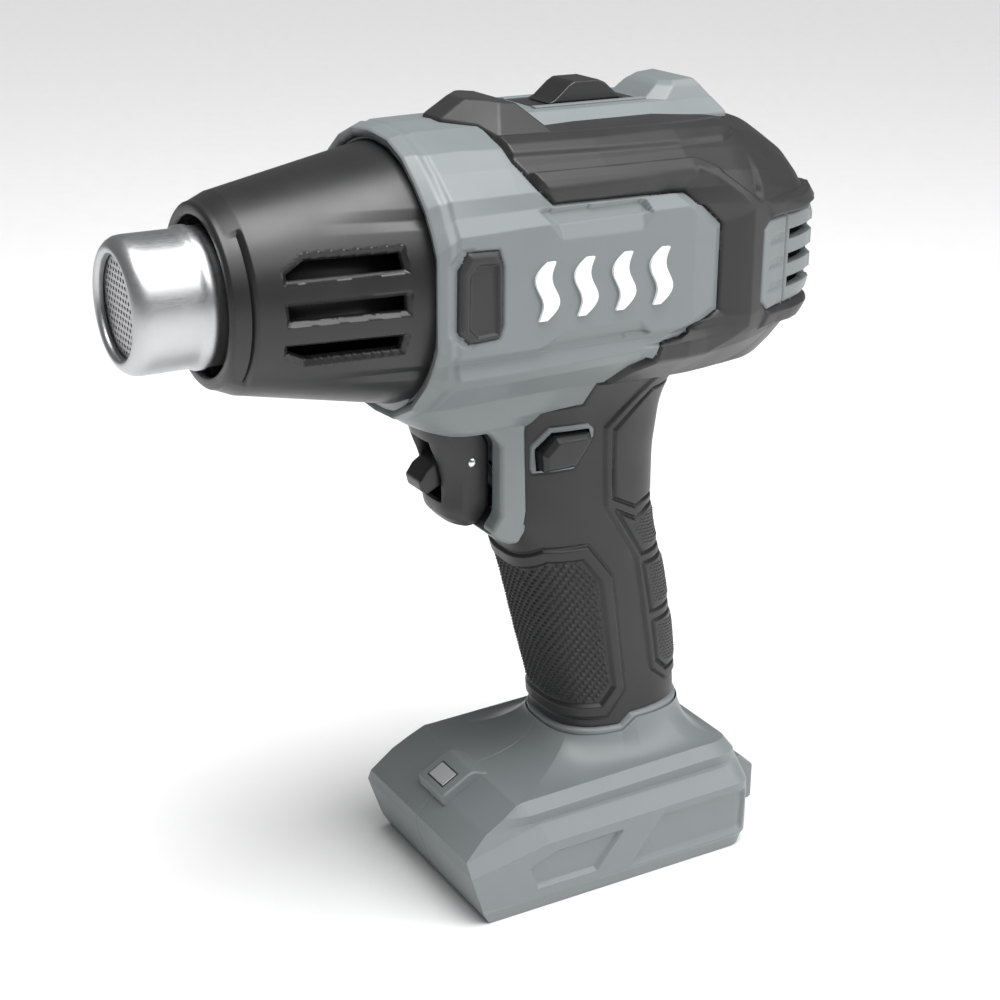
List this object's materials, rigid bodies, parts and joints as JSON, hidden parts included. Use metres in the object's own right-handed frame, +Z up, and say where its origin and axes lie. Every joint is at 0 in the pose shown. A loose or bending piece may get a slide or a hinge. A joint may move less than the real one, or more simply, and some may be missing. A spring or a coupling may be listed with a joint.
{
  "type": "heat gun",
  "caption": "Cordless pistol-grip heat gun with a steel nozzle in a black guard, grey and black body, sprung trigger with safety lever, and a sliding-battery foot.",
  "frame": {"origin": "middle of the bounding box at the underside of the foot", "axes": "-X out of the nozzle, +Z up from foot to barrel, -Y the user's left-hand side"},
  "size_m": [0.2198, 0.086, 0.2545],
  "materials": {
    "grey_shell": "satin",
    "soft_black": "matte",
    "black_plastic": "satin",
    "nozzle_steel": "satin",
    "screw_steel": "satin",
    "mica": "matte",
    "heater_wire": "satin",
    "motor_steel": "satin",
    "motor_iron": "satin",
    "white_print": "satin",
    "board_green": "satin",
    "copper": "satin",
    "lens_clear": "gloss",
    "wire_cover": "satin"
  },
  "bodies": {
    "housing": {"left_housing": "grey_shell", "right_housing": "grey_shell", "left_grip_cover": "soft_black", "right_grip_cover": "soft_black", "housing_screws": "screw_steel", "nozzle_tube": "nozzle_steel", "nozzle_grille": "nozzle_steel", "heater_sleeve": "mica", "heater_core": "mica", "heater_windings": "heater_wire", "heater_flange": "mica", "thermal_cutout": "heater_wire", "nozzle_guard": "black_plastic", "air_duct": "black_plastic", "motor_can": "motor_steel", "motor_end_cap": "black_plastic", "front_bearing": "screw_steel", "rear_bearing": "screw_steel", "motor_bracket": "black_plastic", "rear_grille": "grey_shell", "rear_lips": "soft_black", "roof_rail": "grey_shell", "front_cap": "soft_black", "left_panel": "grey_shell", "right_panel": "grey_shell", "left_pad": "soft_black", "right_pad": "soft_black", "left_emblem": "white_print", "right_emblem": "white_print", "left_grip_pad": "soft_black", "right_grip_pad": "soft_black", "palm_pads": "soft_black", "trigger_spring": "screw_steel", "switch_module": "black_plastic", "lock_frames": "grey_shell", "control_board": "board_green", "board_parts": "black_plastic", "terminal_block": "black_plastic", "terminal_blades": "copper", "battery_rails": "grey_shell", "lamp_bezel": "grey_shell", "lamp_board": "board_green", "lamp_lens": "lens_clear", "foot_plates": "grey_shell", "rear_bumper": "grey_shell", "handle_wires": "wire_cover", "motor_wires": "wire_cover", "heater_wires": "wire_cover"},
    "trigger": {"trigger": "black_plastic", "lever_pin": "screw_steel", "lever_spring": "screw_steel"},
    "safety_lever": {"safety_lever": "black_plastic"},
    "lock_button": {"lock_button": "black_plastic"},
    "selector": {"selector_slider": "black_plastic"},
    "rotor": {"fan_impeller": "black_plastic", "motor_shaft": "screw_steel", "motor_armature": "motor_iron"}
  },
  "joints": [
    {"name": "trigger_pull", "type": "slide", "parent": "housing", "child": "trigger", "axis": [1, 0, 0], "range_m": [0, 0.005], "stiffness_N_per_m": 900, "springref_m": -0.002, "deforming": ["trigger_spring"]},
    {"name": "safety_lever_press", "type": "hinge", "parent": "trigger", "child": "safety_lever", "pos_m": [-0.00695, 0, 0.1455], "axis": [0, 1, 0], "range_deg": [-14, 0], "stiffness_Nm_per_rad": 0.03, "springref_deg": 8.59},
    {"name": "lock_push", "type": "slide", "parent": "housing", "child": "lock_button", "axis": [0, 1, 0], "range_m": [0, 0.004]},
    {"name": "selector_shift", "type": "slide", "parent": "housing", "child": "selector", "axis": [1, 0, 0], "range_m": [-0.004, 0.004]},
    {"name": "fan_spin", "type": "hinge", "parent": "housing", "child": "rotor", "pos_m": [0.02705, 0, 0.2035], "axis": [1, 0, 0], "continuous": true}
  ]
}
